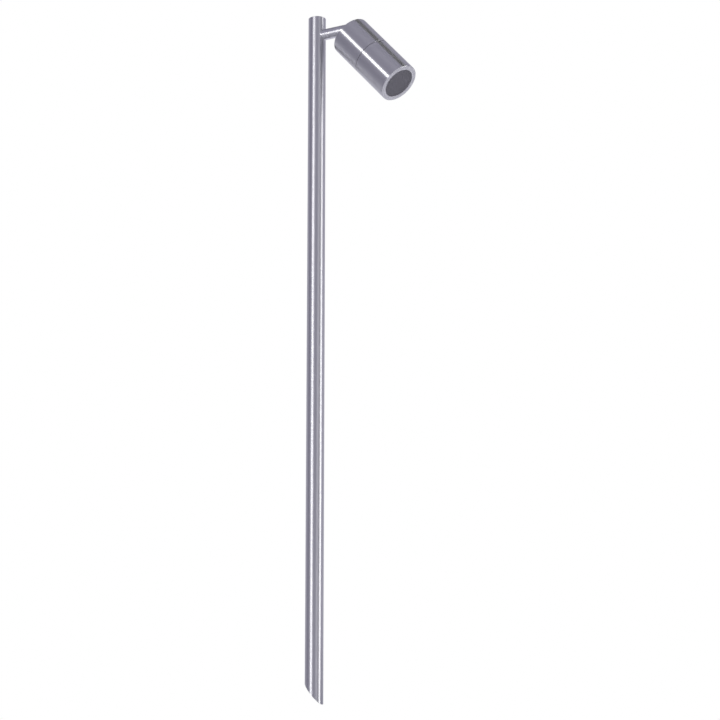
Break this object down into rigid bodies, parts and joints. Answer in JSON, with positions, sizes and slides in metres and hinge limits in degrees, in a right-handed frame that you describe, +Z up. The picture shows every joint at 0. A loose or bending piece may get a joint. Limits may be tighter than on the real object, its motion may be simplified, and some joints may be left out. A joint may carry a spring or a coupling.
{
  "type": "garden pole spotlight",
  "caption": "Stainless garden spotlight: a tubular pole with a slanted foot, a short swivel arm and a tilting cylindrical lamp head with a screw-off front barrel.",
  "frame": {"origin": "on the pole's axis at the soil line, 250 mm above the point of the slanted foot", "axes": "+Z up along the pole, +X along the arm towards the lamp head, +Y to the left of the arm seen from the pole"},
  "size_m": [0.1709, 0.06, 1],
  "materials": {
    "tube_stainless": "satin drawn tube",
    "turned_stainless": "fine turned satin",
    "fastener_stainless": "plain machined",
    "lamp_aluminium": "satin",
    "black_rubber": "moulded",
    "matt_glass": "acid-etched matt",
    "lamp_glass": "clear moulded",
    "ceramic": "glazed ceramic",
    "pin_brass": "nickel-plated",
    "black_nylon": "moulded",
    "lead_silicone": "silicone insulation"
  },
  "bodies": {
    "pole": {"pole_tube": "tube_stainless", "top_cap": "turned_stainless", "top_cap_oring": "black_rubber", "cable_grommet": "black_rubber", "lead_connector": "black_nylon", "arm_boss": "turned_stainless", "stop_pin": "fastener_stainless", "saddle_washer": "fastener_stainless", "pole_lead_a": "lead_silicone", "pole_lead_b": "lead_silicone"},
    "arm": {"arm_bar": "turned_stainless", "swivel_stem": "fastener_stainless", "spring_washer": "fastener_stainless", "stem_clip": "fastener_stainless", "swivel_oring": "black_rubber", "pivot_screw": "fastener_stainless", "pivot_washer": "fastener_stainless", "arm_lead_a": "lead_silicone", "arm_lead_b": "lead_silicone"},
    "head": {"knuckle_stub": "turned_stainless", "knuckle_oring": "black_rubber", "stub_oring": "black_rubber", "rear_body": "turned_stainless", "stub_washer": "fastener_stainless", "stub_nut": "fastener_stainless", "lampholder_bracket": "fastener_stainless", "bracket_screws": "fastener_stainless", "lampholder": "ceramic", "holder_screws": "fastener_stainless", "lamp_body": "lamp_aluminium", "lamp_lens": "lamp_glass", "lamp_pins": "pin_brass", "barrel_oring": "black_rubber", "head_lead_a": "lead_silicone", "head_lead_b": "lead_silicone"},
    "front_barrel": {"front_barrel": "turned_stainless", "glass_gasket": "black_rubber", "front_glass": "matt_glass", "glass_retainer": "lamp_aluminium"}
  },
  "joints": [
    {"name": "arm_swivel", "type": "hinge", "parent": "pole", "child": "arm", "pos_m": [0.0225, 0, 0.723], "axis": [1, 0, 0], "range_deg": [-90, 90]},
    {"name": "head_tilt", "type": "hinge", "parent": "arm", "child": "head", "pos_m": [0.0475, 0, 0.723], "axis": [0, 1, 0], "range_deg": [-138, 42]},
    {"name": "front_barrel_off", "type": "slide", "parent": "head", "child": "front_barrel", "axis": [0.6691, 0, -0.7431], "range_m": [0, 0.06]}
  ]
}
